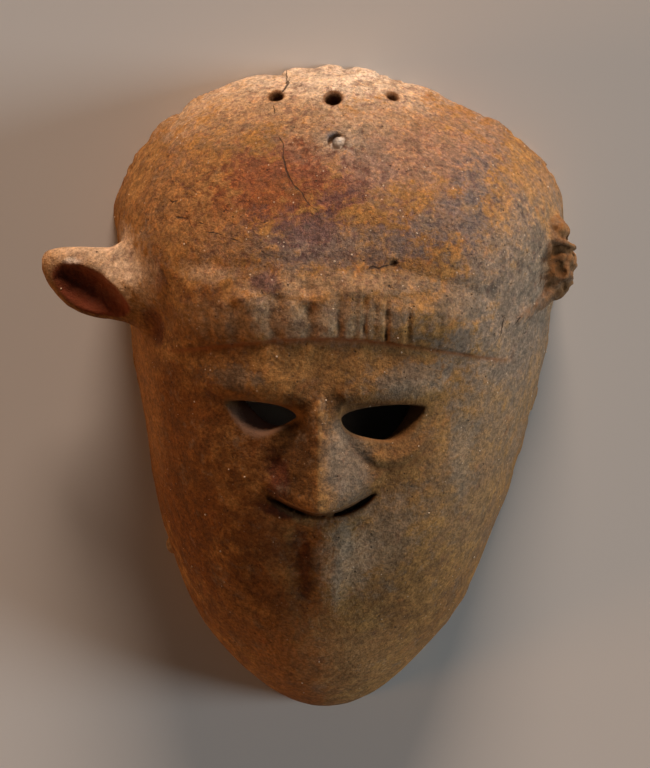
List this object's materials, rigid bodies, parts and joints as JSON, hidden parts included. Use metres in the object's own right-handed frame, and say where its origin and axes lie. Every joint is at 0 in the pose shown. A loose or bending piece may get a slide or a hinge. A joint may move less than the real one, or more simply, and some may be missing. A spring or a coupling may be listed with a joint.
{
  "type": "silenus mask",
  "caption": "Hollow fired-clay face mask with a horse ear, grooved hair fringe, cut eyes and mouth, and suspension holes in the crown.",
  "frame": {"origin": "middle of the outline seen from the front, on the flat plane of the back rim", "axes": "+X to the viewer's right, +Y up the face towards the crown, +Z out of the face; the mask lies on its back rim"},
  "size_m": [0.156, 0.203, 0.0727],
  "materials": {
    "clay": "matt coarse fired clay, orange-brown with grey-purple patches"
  },
  "bodies": {
    "root": {"silenus_mask": "clay"}
  },
  "joints": []
}
